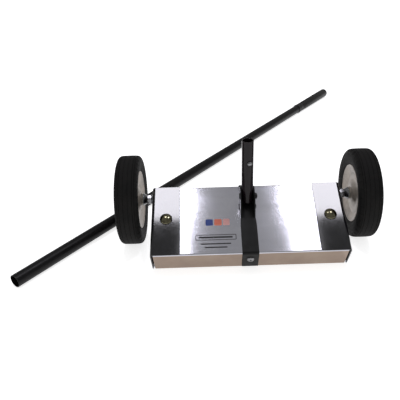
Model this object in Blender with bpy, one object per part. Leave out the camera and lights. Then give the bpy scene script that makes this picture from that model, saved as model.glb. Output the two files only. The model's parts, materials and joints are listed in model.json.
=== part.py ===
"""Magnetic nail sweeper: a magnet housing on two wheels, tipped onto its front edge, and its handle behind it.

Metres, +Z up. The origin is on the floor, in the middle of the outline of the whole object.
The housing is drawn level in a frame of its own (x across, y back from its front edge, z up from its
underside), and an empty tips that frame forward until the front edge and both wheels stand on the floor.
"""

import math

import bmesh
import bpy
from mathutils import Vector

MM = 0.001
INCH = 25.4 * MM
GAP = 0.3 * MM  # left between pieces that touch

# Housing
HOUSING_W = 422 * MM
HOUSING_D = 173 * MM
HOUSING_H = 60.5 * MM
BRACKET_T = 3 * MM
BRACKET_BEND = 7 * MM
FLANGE_W = 63 * MM
FLANGE_CORNER = 5 * MM
COVER_T = 1.5 * MM
COVER_BEND = 3 * MM
COVER_END_GAP = 3 * MM
TRAY_T = 1.2 * MM
TRAY_RISE = 9 * MM

# Magnets and the steel plate they hang from
MAGNET_X, MAGNET_Y, MAGNET_Z = 4 * INCH, 6 * INCH, 0.75 * INCH
MAGNET_COUNT = 3
MAGNET_SPACING = MAGNET_X + 1 * MM
PLATE_T = 5 * MM
PLATE_END_GAP = 17 * MM
PLATE_MARGIN = 6 * MM

# Half-inch carriage bolts that carry the plate
HALF_INCH_R = 0.25 * INCH
HALF_INCH_FLATS = 0.75 * INCH
HALF_INCH_NUT_T = 11 * MM
HALF_INCH_HOLE_R = 6.75 * MM
CARRIAGE_X = 178.5 * MM
CARRIAGE_Y = 88 * MM
DOME_R = 13.5 * MM
DOME_H = 6.7 * MM
PLATE_WASHER_R = 16 * MM
SLEEVE_R = 10 * MM
WASHER_T = 1.7 * MM
SHANK_END = 6 * MM

# Centre strap with its clevis ears
STRAP_T = 2.6 * MM
STRAP_FRONT_HALF_W = 17.5 * MM
STRAP_REAR_HALF_W = 16.1 * MM
STRAP_FOOT = 4 * MM
STRAP_WAIST = (69 * MM, 86 * MM)
EAR_OUT = 15.8 * MM
EAR_IN = 13.2 * MM
EAR_MM = ((84, 59), (106, 88), (118, 96), (143, 96), (151, 88), (154, 59))  # y, z
EAR_CORNER = 5 * MM
SCREW_Z = 36.5 * MM
SCREW_R = 0.125 * INCH
SCREW_HOLE_R = 3.4 * MM
SCREW_HEAD_R = 7.6 * MM
SCREW_HEAD_H = 3.6 * MM
SCREW_END = 9 * MM
SCREW_NUT_T = 5.5 * MM
SCREW_NUT_FLATS = 11.1 * MM

# Handle socket and its pivot
PIVOT_Y = 130 * MM
PIVOT_Z = 77.8 * MM
PIVOT_R = 5 / 32 * INCH
PIVOT_HOLE_R = 4.25 * MM
PIVOT_NUT_T = 4.6 * MM
PIVOT_NUT_FLATS = 0.5 * INCH
PIVOT_HEAD_R = 7.5 * MM
PIVOT_HEAD_H = 2.4 * MM
PIVOT_END = 1.2 * MM
PIVOT_CHAMFER = 0.6 * MM
SOCKET_LEAN = math.radians(25)
SOCKET_R = 0.5 * INCH
SOCKET_WALL = 2.1 * MM
SOCKET_BELOW = 11 * MM
SOCKET_ABOVE = 133 * MM

# Snap button in the socket
BUTTON_UP = 85 * MM
BUTTON_TURN = math.radians(14)
BUTTON_R = 5 * MM
BUTTON_PROUD = 4.8 * MM
BUTTON_DOME_H = 3.6 * MM
BUTTON_FLANGE_R = 6.4 * MM
BUTTON_FLANGE = (6.5 * MM, 7.9 * MM)
BUTTON_HOLE_R = 5.4 * MM
SPRING_T = 0.8 * MM
SPRING_HALF_W = 3.5 * MM
SPRING_BEND = 2.5 * MM
SPRING_CLEARANCE = 2.2 * MM

# Wheels, 8 x 2 inch. Outlines run across the wheel, then along its radius.
WHEEL_R = 4 * INCH
WHEEL_X = 260.8 * MM
AXLE_Y = 161.7 * MM
AXLE_Z = 31.9 * MM
AXLE_HEAD_T = 8 * MM
RIM_T = 1.5 * MM
HUB_R = 13.5 * MM
HUB_BORE_R = 8.3 * MM
HUB_HALF_L = 24 * MM
BUSH_R = 8 * MM
BUSH_BORE_R = 6.7 * MM
BUSH_FLANGE_R = 12 * MM
BUSH_FLANGE_T = 1.5 * MM
BUSH_DEPTH = 13 * MM
TREAD_MM = ((0, 101.6), (17, 101.2), (22.5, 98.6), (25.2, 93), (25.4, 85), (24.2, 75), (20.4, 66.4))
TYRE_SEAT_MM = ((18.2, 63.4), (12.5, 55.5), (0, 53.5))
DISH_MM = ((20.5, 14), (20, 20), (14, 31), (12.5, 47), (20.6, 64.4))
AXLE_WASHER_R = 14 * MM
SPACER_R = 9.5 * MM  # the end at the nut; the other end is as wide as the washer
LOCK_WASHER_R = 10.5 * MM
LOCK_WASHER_T = 3 * MM
LOCK_NUT_T = 9 * MM
AXLE_END = 1.2 * MM

# Handle
TUBE_R = 9 / 16 * INCH
TUBE_BORE_R = 13.05 * MM
HANDLE_L = 1516 * MM
GRIP_L = 250 * MM
GRIP_R = 16.2 * MM
GRIP_TIP = 10 * MM
HANDLE_NEAR = (-492.4 * MM, -48.3 * MM)
HANDLE_HEADING = math.atan2(1220.3, 899.3)
LOCK_HOLE_FROM_END = 55 * MM

# Worked out from the sizes above
HOUSING_TILT = math.asin(WHEEL_R / math.hypot(AXLE_Y, AXLE_Z)) - math.atan2(AXLE_Z, AXLE_Y)
COVER_TOP = HOUSING_H - BRACKET_T - GAP
STRAP_TOP = COVER_TOP + GAP + STRAP_T
HANDLE_RISE = math.asin((GRIP_R - TUBE_R) / (HANDLE_L - GRIP_L))
ALONG = Vector((math.cos(HANDLE_HEADING), math.sin(HANDLE_HEADING)))
ACROSS = Vector((abs(ALONG.y), abs(ALONG.x)))


def outline_middle():
    """The middle of the box around the object, seen from above: the handle's two ends are its corners."""
    near = Vector(HANDLE_NEAR) - TUBE_R * ACROSS
    tip = Vector(HANDLE_NEAR) + (HANDLE_L - GRIP_TIP) * ALONG
    far = [tip[i] + math.hypot(GRIP_TIP * ALONG[i], GRIP_R * ACROSS[i]) for i in (0, 1)]
    return (near + Vector(far)) / 2


def clear_scene():
    for old in list(bpy.data.objects):
        bpy.data.objects.remove(old, do_unlink=True)


def material(name, colour, roughness, metallic=0.0):
    made = bpy.data.materials.new(name)
    made.use_nodes = True
    shader = made.node_tree.nodes["Principled BSDF"]
    shader.inputs["Base Color"].default_value = (*colour, 1)
    shader.inputs["Roughness"].default_value = roughness
    shader.inputs["Metallic"].default_value = metallic
    return made


def empty(name, parent=None, location=(0, 0, 0), rotation=(0, 0, 0)):
    made = bpy.data.objects.new(name, None)
    bpy.context.scene.collection.objects.link(made)
    made.parent = parent
    made.location = location
    made.rotation_euler = rotation
    return made


def piece(name, shape, finish, parent, location=(0, 0, 0), rotation=(0, 0, 0)):
    """Turns a bmesh into an object; its round faces are smooth and its corners sharp."""
    bmesh.ops.recalc_face_normals(shape, faces=shape.faces)
    mesh = bpy.data.meshes.new(name)
    shape.to_mesh(mesh)
    shape.free()
    mesh.shade_smooth()
    mesh.set_sharp_from_angle(angle=math.radians(35))
    if finish:
        mesh.materials.append(finish)
    made = bpy.data.objects.new(name, mesh)
    bpy.context.scene.collection.objects.link(made)
    made.parent = parent
    made.location = location
    made.rotation_euler = rotation
    return made


def combine(target, shape, operation, location=(0, 0, 0), rotation=(0, 0, 0)):
    """Cuts a shape out of the target, or joins it on. The shape is placed in the target's parent frame."""
    tool = piece(target.name + "_tool", shape, None, target.parent, location, rotation)
    tool.hide_render = True
    tool.display_type = "WIRE"
    modifier = target.modifiers.new(operation.lower(), "BOOLEAN")
    modifier.operation = operation
    modifier.object = tool


def soften(target, width, segments=2):
    modifier = target.modifiers.new("edges", "BEVEL")
    modifier.width = width
    modifier.segments = segments
    modifier.limit_method = "ANGLE"
    modifier.angle_limit = math.radians(40)


# Shapes -------------------------------------------------------------------------------------------


def slab(outline, axis, low, high):
    """A plate: an outline in the plane square to the axis, filled from low to high along it."""
    at = {"x": lambda a, b: (low, a, b), "y": lambda a, b: (a, low, b), "z": lambda a, b: (a, b, low)}[axis]
    shape = bmesh.new()
    face = shape.faces.new([shape.verts.new(at(a, b)) for a, b in outline])
    grown = bmesh.ops.extrude_face_region(shape, geom=[face])["geom"]
    push = Vector([high - low if letter == axis else 0 for letter in "xyz"])
    bmesh.ops.translate(shape, vec=push, verts=[v for v in grown if isinstance(v, bmesh.types.BMVert)])
    return shape


def box(low, high):
    outline = [(low[0], low[1]), (high[0], low[1]), (high[0], high[1]), (low[0], high[1])]
    return slab(outline, "z", low[2], high[2])


def rounded(points, radius, closed=True, steps=4):
    """The points with each corner replaced by an arc of this radius."""
    points = [Vector(p) for p in points]
    made = []
    for i, corner in enumerate(points):
        if not closed and i in (0, len(points) - 1):
            made.append(corner)
            continue
        into = (points[i - 1] - corner).normalized()
        out = (points[(i + 1) % len(points)] - corner).normalized()
        half = into.angle(out) / 2
        middle = corner + (into + out).normalized() * radius / math.sin(half)
        start = corner + into * radius / math.tan(half) - middle
        end = corner + out * radius / math.tan(half) - middle
        sweep = start.angle_signed(end)
        for step in range(steps + 1):
            turn = -sweep * step / steps
            cos, sin = math.cos(turn), math.sin(turn)
            made.append(middle + Vector((start.x * cos - start.y * sin, start.x * sin + start.y * cos)))
    return made


def beside(path, distance):
    """An open path moved to its right by this distance."""
    path = [Vector(p) for p in path]
    ways = [(b - a).normalized() for a, b in zip(path, path[1:])]
    rights = [Vector((way.y, -way.x)) for way in ways]
    made = []
    for point, before, after in zip(path, rights[:1] + rights, rights + rights[-1:]):
        total = before + after
        made.append(point + total * distance / total.dot(before))
    return made


def folded(path, thickness, outer_radius):
    """The cut face of a sheet folded along a path: its outer face is on the path, its metal to the right."""
    outer = rounded(path, outer_radius, closed=False)
    inner = rounded(beside(path, thickness), outer_radius - thickness, closed=False)
    return outer + inner[::-1]


def turned(profile, segments=20, ring=False):
    """A shape turned about x from (x, radius) points. A ring's profile closes; any other ends on the axis."""
    shape = bmesh.new()
    verts = [shape.verts.new((x, 0, radius)) for x, radius in profile]
    edges = [shape.edges.new(pair) for pair in zip(verts, verts[1:])]
    if ring:
        edges.append(shape.edges.new((verts[-1], verts[0])))
    around = {"cent": (0, 0, 0), "axis": (1, 0, 0), "angle": math.tau}
    bmesh.ops.spin(shape, geom=verts + edges, steps=segments, use_merge=True, **around)
    bmesh.ops.remove_doubles(shape, verts=shape.verts, dist=1e-7)
    return shape


def rod(low, high, radius, segments=20, chamfer=0.0):
    profile = [(low, 0), (low, radius), (high - chamfer, radius)]
    if chamfer:
        profile.append((high, radius - chamfer))
    return turned(profile + [(high, 0)], segments)


def ring(low, high, bore, radius, segments=20):
    return turned([(low, bore), (low, radius), (high, radius), (high, bore)], segments, ring=True)


def hexagon(flats):
    corner = flats / math.sqrt(3)
    return [(corner * math.sin(k * math.pi / 3), corner * math.cos(k * math.pi / 3)) for k in range(6)]


def mirrored(shape):
    bmesh.ops.scale(shape, vec=(-1, 1, 1), verts=shape.verts)
    bmesh.ops.reverse_faces(shape, faces=shape.faces)
    return shape


def hex_nut(name, low, high, flats, bore, finish, parent, location, rotation=(0, 0, 0)):
    made = piece(name, slab(hexagon(flats), "x", low, high), finish, parent, location, rotation)
    soften(made, 0.6 * MM, 1)
    combine(made, rod(low - GAP, high + GAP, bore), "DIFFERENCE", location, rotation)
    return made


UP = (0, -math.pi / 2, 0)  # stands a piece turned about x on the z axis
FORWARD = (0, 0, -math.pi / 2)  # and points one at the front, along -y


# The object's own pieces ----------------------------------------------------------------------------


def cover(carriage, finish):
    half = HOUSING_W / 2 - BRACKET_T - COVER_END_GAP
    path = [(0, 0), (0, COVER_TOP), (HOUSING_D, COVER_TOP), (HOUSING_D, 0)]
    made = piece("housing_cover", slab(folded(path, COVER_T, COVER_BEND), "x", -half, half), finish, carriage)
    for side in (-1, 1):
        drill = rod(COVER_TOP - 4 * MM, COVER_TOP + 4 * MM, HALF_INCH_HOLE_R)
        combine(made, drill, "DIFFERENCE", (side * CARRIAGE_X, CARRIAGE_Y, 0), UP)
    for face_y in (0, HOUSING_D):
        combine(made, rod(-4 * MM, 4 * MM, SCREW_HOLE_R), "DIFFERENCE", (0, face_y, SCREW_Z), FORWARD)


def tray(carriage, finish):
    """The thin bottom plate that nails cling to, with its front and rear edges turned up inside the cover."""
    half = HOUSING_W / 2 - BRACKET_T - GAP
    front, back = COVER_T + GAP, HOUSING_D - COVER_T - GAP
    path = [(back, TRAY_RISE), (back, GAP), (front, GAP), (front, TRAY_RISE)]
    piece("bottom_plate", slab(folded(path, TRAY_T, 2 * MM), "x", -half, half), finish, carriage)


def magnet_stack(carriage, ferrite, steel):
    floor = GAP + TRAY_T + 2 * GAP
    middle = HOUSING_D / 2
    for k in range(MAGNET_COUNT):
        centre = (k - (MAGNET_COUNT - 1) / 2) * MAGNET_SPACING
        corner = (centre - MAGNET_X / 2, middle - MAGNET_Y / 2, floor)
        opposite = (centre + MAGNET_X / 2, middle + MAGNET_Y / 2, floor + MAGNET_Z)
        soften(piece(f"magnet_{k + 1}", box(corner, opposite), ferrite, carriage), 1 * MM, 1)
    plate_low = floor + MAGNET_Z + GAP
    half = HOUSING_W / 2 - PLATE_END_GAP
    corner = (-half, PLATE_MARGIN, plate_low)
    opposite = (half, HOUSING_D - PLATE_MARGIN, plate_low + PLATE_T)
    plate = piece("backing_plate", box(corner, opposite), steel, carriage)
    for side, word in ((-1, "left"), (1, "right")):
        spot = (side * CARRIAGE_X, CARRIAGE_Y, 0)
        drill = rod(plate_low - GAP, plate_low + PLATE_T + GAP, HALF_INCH_HOLE_R)
        combine(plate, drill, "DIFFERENCE", spot, UP)
        sleeve = ring(plate_low + PLATE_T + GAP, COVER_TOP - COVER_T - GAP, HALF_INCH_HOLE_R, SLEEVE_R)
        piece(f"spacer_sleeve_{word}", sleeve, steel, carriage, spot, UP)
        washer = ring(plate_low - GAP - WASHER_T, plate_low - GAP, HALF_INCH_HOLE_R, PLATE_WASHER_R)
        piece(f"plate_washer_{word}", washer, steel, carriage, spot, UP)
        top = plate_low - 2 * GAP - WASHER_T
        low = top - HALF_INCH_NUT_T
        hex_nut(f"plate_nut_{word}", low, top, HALF_INCH_FLATS, HALF_INCH_HOLE_R, steel, carriage, spot, UP)


def carriage_bolt(word, side, carriage, finish):
    seat = HOUSING_H + GAP
    dome = [(seat + DOME_H * math.cos(k * math.pi / 16), DOME_R * math.sin(k * math.pi / 16)) for k in range(9)]
    shank = [(seat, HALF_INCH_R), (SHANK_END, HALF_INCH_R), (SHANK_END, 0)]
    spot = (side * CARRIAGE_X, CARRIAGE_Y, 0)
    piece(f"carriage_bolt_{word}", turned(dome + shank), finish, carriage, spot, UP)


def end_bracket(word, side, carriage, finish):
    """A steel angle: its flange lies on the cover and its end plate closes the housing and holds the axle."""
    half = HOUSING_W / 2
    path = [(half - FLANGE_W, HOUSING_H), (half, HOUSING_H), (half, 0)]
    shape = slab(folded(path, BRACKET_T, BRACKET_BEND), "y", 0, HOUSING_D)
    inner_edges = [
        edge
        for edge in shape.edges
        if all(abs(v.co.x - (half - FLANGE_W)) < 1e-6 for v in edge.verts)
        and abs(edge.verts[0].co.z - edge.verts[1].co.z) > MM
    ]
    bmesh.ops.bevel(
        shape, geom=inner_edges, offset=FLANGE_CORNER, segments=4, affect="EDGES", profile=0.5, material=-1
    )
    if side < 0:
        shape = mirrored(shape)
    made = piece(f"end_bracket_{word}", shape, finish, carriage)
    soften(made, 0.8 * MM)
    drill = rod(HOUSING_H - 6 * MM, HOUSING_H + 6 * MM, HALF_INCH_HOLE_R)
    combine(made, drill, "DIFFERENCE", (side * CARRIAGE_X, CARRIAGE_Y, 0), UP)
    combine(made, rod(-6 * MM, 6 * MM, HALF_INCH_HOLE_R), "DIFFERENCE", (side * half, AXLE_Y, AXLE_Z))


def centre_strap(carriage, finish):
    """A flat bar over the housing from front to rear. Behind its waist two ears stand up as a clevis."""
    outside = GAP + STRAP_T
    path = [(-outside, STRAP_FOOT), (-outside, STRAP_TOP), (HOUSING_D + outside, STRAP_TOP)]
    path.append((HOUSING_D + outside, STRAP_FOOT))
    shape = slab(folded(path, STRAP_T, COVER_BEND + outside), "x", -STRAP_FRONT_HALF_W, STRAP_FRONT_HALF_W)
    made = piece("center_strap", shape, finish, carriage)
    ear = rounded([(y * MM, z * MM) for y, z in EAR_MM], EAR_CORNER)
    waist_front, waist_back = STRAP_WAIST
    for side in (-1, 1):
        cut = [(STRAP_FRONT_HALF_W + MM / 2, waist_front), (STRAP_REAR_HALF_W, waist_back)]
        cut += [(STRAP_REAR_HALF_W, HOUSING_D + 5 * MM), (STRAP_FRONT_HALF_W + 4 * MM, HOUSING_D + 5 * MM)]
        cut += [(STRAP_FRONT_HALF_W + 4 * MM, waist_front)]
        trim = slab(cut, "z", -MM, STRAP_TOP + MM)
        combine(made, trim if side > 0 else mirrored(trim), "DIFFERENCE")
        plate = slab(ear, "x", EAR_IN, EAR_OUT)
        combine(made, plate if side > 0 else mirrored(plate), "UNION")
    pivot_drill = rod(-EAR_OUT - 2 * MM, EAR_OUT + 2 * MM, PIVOT_HOLE_R)
    combine(made, pivot_drill, "DIFFERENCE", (0, PIVOT_Y, PIVOT_Z))
    for leg_y in (-outside, HOUSING_D + outside):
        combine(made, rod(-4 * MM, 4 * MM, SCREW_HOLE_R), "DIFFERENCE", (0, leg_y, SCREW_Z), FORWARD)


def strap_screw(word, face_y, outward, carriage, finish):
    """A pan-head screw through the strap's leg and the cover's lip, and the nut behind the lip."""
    facing = FORWARD if outward < 0 else (0, 0, math.pi / 2)
    seat = STRAP_T + 2 * GAP
    angles = (0, 0.45, 0.85, 1.2, 1.45)
    crown = [(seat + SCREW_HEAD_H * math.cos(a), SCREW_HEAD_R * math.sin(a)) for a in angles]
    profile = crown + [(seat, SCREW_HEAD_R), (seat, SCREW_R), (-SCREW_END, SCREW_R), (-SCREW_END, 0)]
    piece(f"strap_screw_{word}", turned(profile, 24), finish, carriage, (0, face_y, SCREW_Z), facing)
    top = -COVER_T - GAP
    spot = (0, face_y, SCREW_Z)
    low = top - SCREW_NUT_T
    hex_nut(f"strap_nut_{word}", low, top, SCREW_NUT_FLATS, SCREW_R + GAP, finish, carriage, spot, facing)


def pivot_bolt(carriage, finish):
    seat = EAR_OUT + GAP
    head = [(-seat - PIVOT_HEAD_H * math.cos(a), PIVOT_HEAD_R * math.sin(a)) for a in (0, 0.5, 1.0, 1.35)]
    end = seat + PIVOT_NUT_T + PIVOT_END
    profile = head + [(-seat, PIVOT_HEAD_R), (-seat, PIVOT_R), (end - PIVOT_CHAMFER, PIVOT_R)]
    profile += [(end, PIVOT_R - PIVOT_CHAMFER), (end, 0)]
    spot = (0, PIVOT_Y, PIVOT_Z)
    piece("pivot_bolt", turned(profile, 24), finish, carriage, spot)
    hex_nut("pivot_nut", seat, seat + PIVOT_NUT_T, PIVOT_NUT_FLATS, PIVOT_R + GAP, finish, carriage, spot)


def handle_socket(pivot, finish):
    shape = ring(-SOCKET_BELOW, SOCKET_ABOVE, SOCKET_R - SOCKET_WALL, SOCKET_R, 32)
    made = piece("handle_socket", shape, finish, pivot, rotation=UP)
    combine(made, rod(-SOCKET_R - 2 * MM, SOCKET_R + 2 * MM, PIVOT_HOLE_R), "DIFFERENCE")
    outlet = rod(SOCKET_R - 2 * SOCKET_WALL, SOCKET_R + 2 * MM, BUTTON_HOLE_R)
    combine(made, outlet, "DIFFERENCE", (0, 0, BUTTON_UP), button_facing())


def button_facing():
    return (0, 0, BUTTON_TURN - math.pi / 2)


def snap_button(pivot, steel, spring_steel):
    """The domed button, and the bent leaf behind it that pushes it out and bears on the far wall."""
    low, high = BUTTON_FLANGE
    tip = SOCKET_R + BUTTON_PROUD
    angles = [k * math.pi / 12 for k in range(7)]
    crown = [(tip - BUTTON_DOME_H * (1 - math.cos(a)), BUTTON_R * math.sin(a)) for a in angles]
    profile = crown + [(high, BUTTON_R), (high, BUTTON_FLANGE_R), (low, BUTTON_FLANGE_R), (low, 0)]
    place = (0, 0, BUTTON_UP)
    piece("snap_button", turned(profile, 24), steel, pivot, place, button_facing())
    far = SPRING_CLEARANCE + SOCKET_WALL - SOCKET_R
    leaf = [(low - GAP, 7), (low - GAP, -8), (2 * MM, -38), (-3 * MM, -44), (far, -36), (far, 7)]
    path = [(out, up * MM) for out, up in leaf]
    shape = slab(folded(path, SPRING_T, SPRING_BEND), "y", -SPRING_HALF_W, SPRING_HALF_W)
    piece("button_spring", shape, spring_steel, pivot, place, button_facing())


def axle(word, side, carriage, steel):
    """The bolt out of the end plate, its clamping nut, and the spacer, washer and lock nut around the wheel."""
    spot = (0, AXLE_Y, AXLE_Z)
    turn = (0, 0, 0) if side > 0 else (0, 0, math.pi)
    plate_in = HOUSING_W / 2 - BRACKET_T - GAP
    plate_out = HOUSING_W / 2 + GAP
    hub_out = WHEEL_X + HUB_HALF_L + BUSH_FLANGE_T + 2 * GAP
    hub_in = WHEEL_X - HUB_HALF_L - BUSH_FLANGE_T - 2 * GAP
    lock_low = hub_out + WASHER_T + GAP
    end = lock_low + LOCK_NUT_T + AXLE_END
    shank = rod(plate_in - MM, end, HALF_INCH_R, chamfer=MM)
    bolt = piece(f"axle_bolt_{word}", shank, steel, carriage, spot, turn)
    combine(bolt, slab(hexagon(HALF_INCH_FLATS), "x", plate_in - AXLE_HEAD_T, plate_in), "UNION", spot, turn)
    bore = HALF_INCH_R + GAP
    nut_low = plate_out + LOCK_WASHER_T + GAP
    nut_top = nut_low + HALF_INCH_NUT_T
    lock_washer = ring(plate_out, plate_out + LOCK_WASHER_T, bore, LOCK_WASHER_R)
    spacer_low = nut_top + GAP
    flare = [(hub_in - WASHER_T, AXLE_WASHER_R), (hub_in, AXLE_WASHER_R), (hub_in, bore)]
    spacer = turned([(spacer_low, bore), (spacer_low, SPACER_R)] + flare, ring=True)
    outer = ring(hub_out, hub_out + WASHER_T, bore, AXLE_WASHER_R)
    piece(f"lock_washer_{word}", lock_washer, steel, carriage, spot, turn)
    piece(f"axle_spacer_{word}", spacer, steel, carriage, spot, turn)
    piece(f"axle_washer_{word}", outer, steel, carriage, spot, turn)
    hex_nut(f"axle_nut_{word}", nut_low, nut_top, HALF_INCH_FLATS, bore, steel, carriage, spot, turn)
    lock_top = lock_low + LOCK_NUT_T
    hex_nut(f"lock_nut_{word}", lock_low, lock_top, HALF_INCH_FLATS, bore, steel, carriage, spot, turn)


def wheel(word, side, carriage, rubber, rim_paint, bush_nylon):
    """A solid rubber tyre between two pressed rim halves on a tube hub, which runs on two flanged bushes."""
    hub = empty(f"wheel_{word}", carriage, (side * WHEEL_X, AXLE_Y, AXLE_Z))
    half = [(x * MM, r * MM) for x, r in TREAD_MM + TYRE_SEAT_MM]
    other_half = [(-x, r) for x, r in half[-2:0:-1]]
    piece(f"tyre_{word}", turned(half + other_half, 36, ring=True), rubber, hub)
    dish = [(x * MM, r * MM) for x, r in DISH_MM]
    sheet = beside(dish, -RIM_T / 2) + beside(dish, RIM_T / 2)[::-1]
    for place, flip in (("outer", side), ("inner", -side)):
        half_rim = turned([(flip * x, r) for x, r in sheet], 36, ring=True)
        piece(f"rim_{place}_{word}", half_rim, rim_paint, hub)
        flange = flip * (HUB_HALF_L + GAP)
        flange_end = flange + flip * BUSH_FLANGE_T
        deep = flange - flip * BUSH_DEPTH
        bush = [(deep, BUSH_BORE_R), (deep, BUSH_R), (flange, BUSH_R), (flange, BUSH_FLANGE_R)]
        bush += [(flange_end, BUSH_FLANGE_R), (flange_end, BUSH_BORE_R)]
        piece(f"bush_{place}_{word}", turned(bush, 20, ring=True), bush_nylon, hub)
    piece(f"hub_{word}", ring(-HUB_HALF_L, HUB_HALF_L, HUB_BORE_R, HUB_R), rim_paint, hub)


def handle(whole, black_tube, vinyl):
    """The loose handle on the floor: a tube with a locking hole near its open end, and a slipped-on grip."""
    line = empty("handle_line", whole, (*HANDLE_NEAR, TUBE_R), (0, -HANDLE_RISE, HANDLE_HEADING))
    tube_end = HANDLE_L - GRIP_TIP
    tube = piece("handle_tube", ring(0, tube_end, TUBE_BORE_R, TUBE_R, 32), black_tube, line)
    hole = rod(TUBE_BORE_R - 3 * MM, TUBE_R + 2 * MM, BUTTON_HOLE_R, 24)
    combine(tube, hole, "DIFFERENCE", (LOCK_HOLE_FROM_END, 0, 0), (0, 0, math.pi / 2))
    start = HANDLE_L - GRIP_L
    angles = [k * math.pi / 12 for k in range(6)]
    dome = [(tube_end + GRIP_TIP * math.sin(a), GRIP_R * math.cos(a)) for a in angles]
    inside = [(tube_end + GAP, 0), (tube_end + GAP, TUBE_R + GAP), (start, TUBE_R + GAP), (start, GRIP_R - MM)]
    outside = [(start + MM, GRIP_R)] + dome + [(HANDLE_L, 0)]
    piece("handle_grip", turned(inside + outside, 32), vinyl, line)


def main():
    clear_scene()
    bright = material("bright_sheet", (0.55, 0.55, 0.57), 0.3, 1.0)
    black = material("black_gloss_steel", (0.02, 0.02, 0.022), 0.25)
    zinc = material("zinc_plated", (0.62, 0.58, 0.45), 0.28, 1.0)
    steel = material("plain_steel", (0.5, 0.5, 0.5), 0.4, 1.0)
    ferrite = material("ferrite", (0.06, 0.06, 0.065), 0.7)
    rubber = material("rubber", (0.018, 0.018, 0.018), 0.8)
    rim_paint = material("rim_paint", (0.42, 0.4, 0.37), 0.5)
    nylon = material("nylon", (0.6, 0.58, 0.52), 0.5)
    vinyl = material("vinyl", (0.02, 0.02, 0.02), 0.5)

    middle = outline_middle()
    whole = empty("whole", location=(-middle.x, -middle.y, 0))
    carriage = empty("carriage", whole, rotation=(HOUSING_TILT, 0, 0))
    cover(carriage, bright)
    tray(carriage, bright)
    magnet_stack(carriage, ferrite, steel)
    centre_strap(carriage, black)
    strap_screw("front", 0, -1, carriage, zinc)
    strap_screw("rear", HOUSING_D, 1, carriage, zinc)
    pivot_bolt(carriage, black)
    pivot = empty("socket_pivot", carriage, (0, PIVOT_Y, PIVOT_Z), (-SOCKET_LEAN, 0, 0))
    handle_socket(pivot, black)
    snap_button(pivot, zinc, steel)
    for word, side in (("left", -1), ("right", 1)):
        carriage_bolt(word, side, carriage, zinc)
        end_bracket(word, side, carriage, black)
        axle(word, side, carriage, zinc)
        wheel(word, side, carriage, rubber, rim_paint, nylon)
    handle(whole, black, vinyl)


main()
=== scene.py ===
# %% [markdown]
# # A magnetic nail sweeper, ready for its close-up
#
# The sweeper is a flat box of magnets on two 8 inch wheels. It has been let go, so it tips onto the front
# edge of its box. Its long handle is off and lies on the floor behind it. The frame already holds every
# solid at its real size and place. This lesson gives those solids their finish, and swaps the round and
# folded ones for finer meshes that fit in the same space.

# %% Load the fixed frame
import math

import json

import bmesh
import bpy
from mathutils import Matrix, Vector


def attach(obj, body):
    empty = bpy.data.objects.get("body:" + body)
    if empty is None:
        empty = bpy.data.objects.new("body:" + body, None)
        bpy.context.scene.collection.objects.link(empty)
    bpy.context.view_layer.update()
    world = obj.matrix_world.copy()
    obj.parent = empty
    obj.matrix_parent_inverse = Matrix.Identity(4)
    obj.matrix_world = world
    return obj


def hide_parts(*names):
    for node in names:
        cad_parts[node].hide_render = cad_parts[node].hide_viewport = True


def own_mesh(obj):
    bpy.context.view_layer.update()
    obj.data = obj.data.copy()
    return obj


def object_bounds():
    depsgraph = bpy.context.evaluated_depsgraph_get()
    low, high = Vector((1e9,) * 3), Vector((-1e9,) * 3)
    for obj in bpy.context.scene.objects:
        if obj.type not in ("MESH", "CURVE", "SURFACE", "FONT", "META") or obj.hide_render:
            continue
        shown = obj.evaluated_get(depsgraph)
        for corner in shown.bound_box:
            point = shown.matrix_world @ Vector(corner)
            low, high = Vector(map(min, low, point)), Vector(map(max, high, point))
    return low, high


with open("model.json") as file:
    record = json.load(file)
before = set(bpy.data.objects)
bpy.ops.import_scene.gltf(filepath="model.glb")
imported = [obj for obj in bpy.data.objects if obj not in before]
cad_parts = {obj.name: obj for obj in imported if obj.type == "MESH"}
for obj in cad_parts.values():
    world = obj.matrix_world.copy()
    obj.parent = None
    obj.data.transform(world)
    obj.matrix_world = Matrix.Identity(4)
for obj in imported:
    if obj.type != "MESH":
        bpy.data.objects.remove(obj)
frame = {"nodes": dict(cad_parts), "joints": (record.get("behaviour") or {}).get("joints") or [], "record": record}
cad_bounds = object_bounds()
nodes = frame["nodes"]
mounts = {mount["name"]: mount for mount in frame["record"]["mounts"]}
joints = {joint["name"]: joint for joint in frame["joints"]}

# %% [markdown]
# ## Frames to work in
#
# The box of magnets leans forward, so nothing on it is square to the world. It is easier to draw level and
# to tip the finished mesh at the end. The underside's mount gives the tilt, and the end of the handle post
# gives the post's lean. Each piece is drawn in one of these frames, and its place is baked into its mesh,
# because every finished object has to sit at the origin.

# %% Tilted frames, and a box in any of them
MM = 0.001
WELD = 0.001 * MM

down = Vector(mounts["magnet_face"]["axis"])
tilt = math.atan2(down.y, -down.z)
tipped = Matrix.Rotation(tilt, 4, "X")

post_up = Vector(mounts["socket_end"]["axis"])
post_angle = math.atan2(-post_up.y, post_up.z)
post = Matrix.Translation(joints["socket_fold"]["pos_m"]) @ Matrix.Rotation(post_angle, 4, "X")

handle_way = -Vector(mounts["handle_end"]["axis"])
side_way = Vector((0, 0, 1)).cross(handle_way).normalized()
handle_turn = Matrix((handle_way, side_way, handle_way.cross(side_way))).transposed().to_4x4()


def box_in(name, place):
    """The lowest and highest corners of a CAD node, measured in a tilted frame."""
    home = place.inverted()
    points = [home @ vertex.co for vertex in nodes[name].data.vertices]
    low = Vector([min(point[k] for point in points) for k in range(3)])
    high = Vector([max(point[k] for point in points) for k in range(3)])
    return low, high


def middle(low, high):
    return (low + high) / 2


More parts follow.
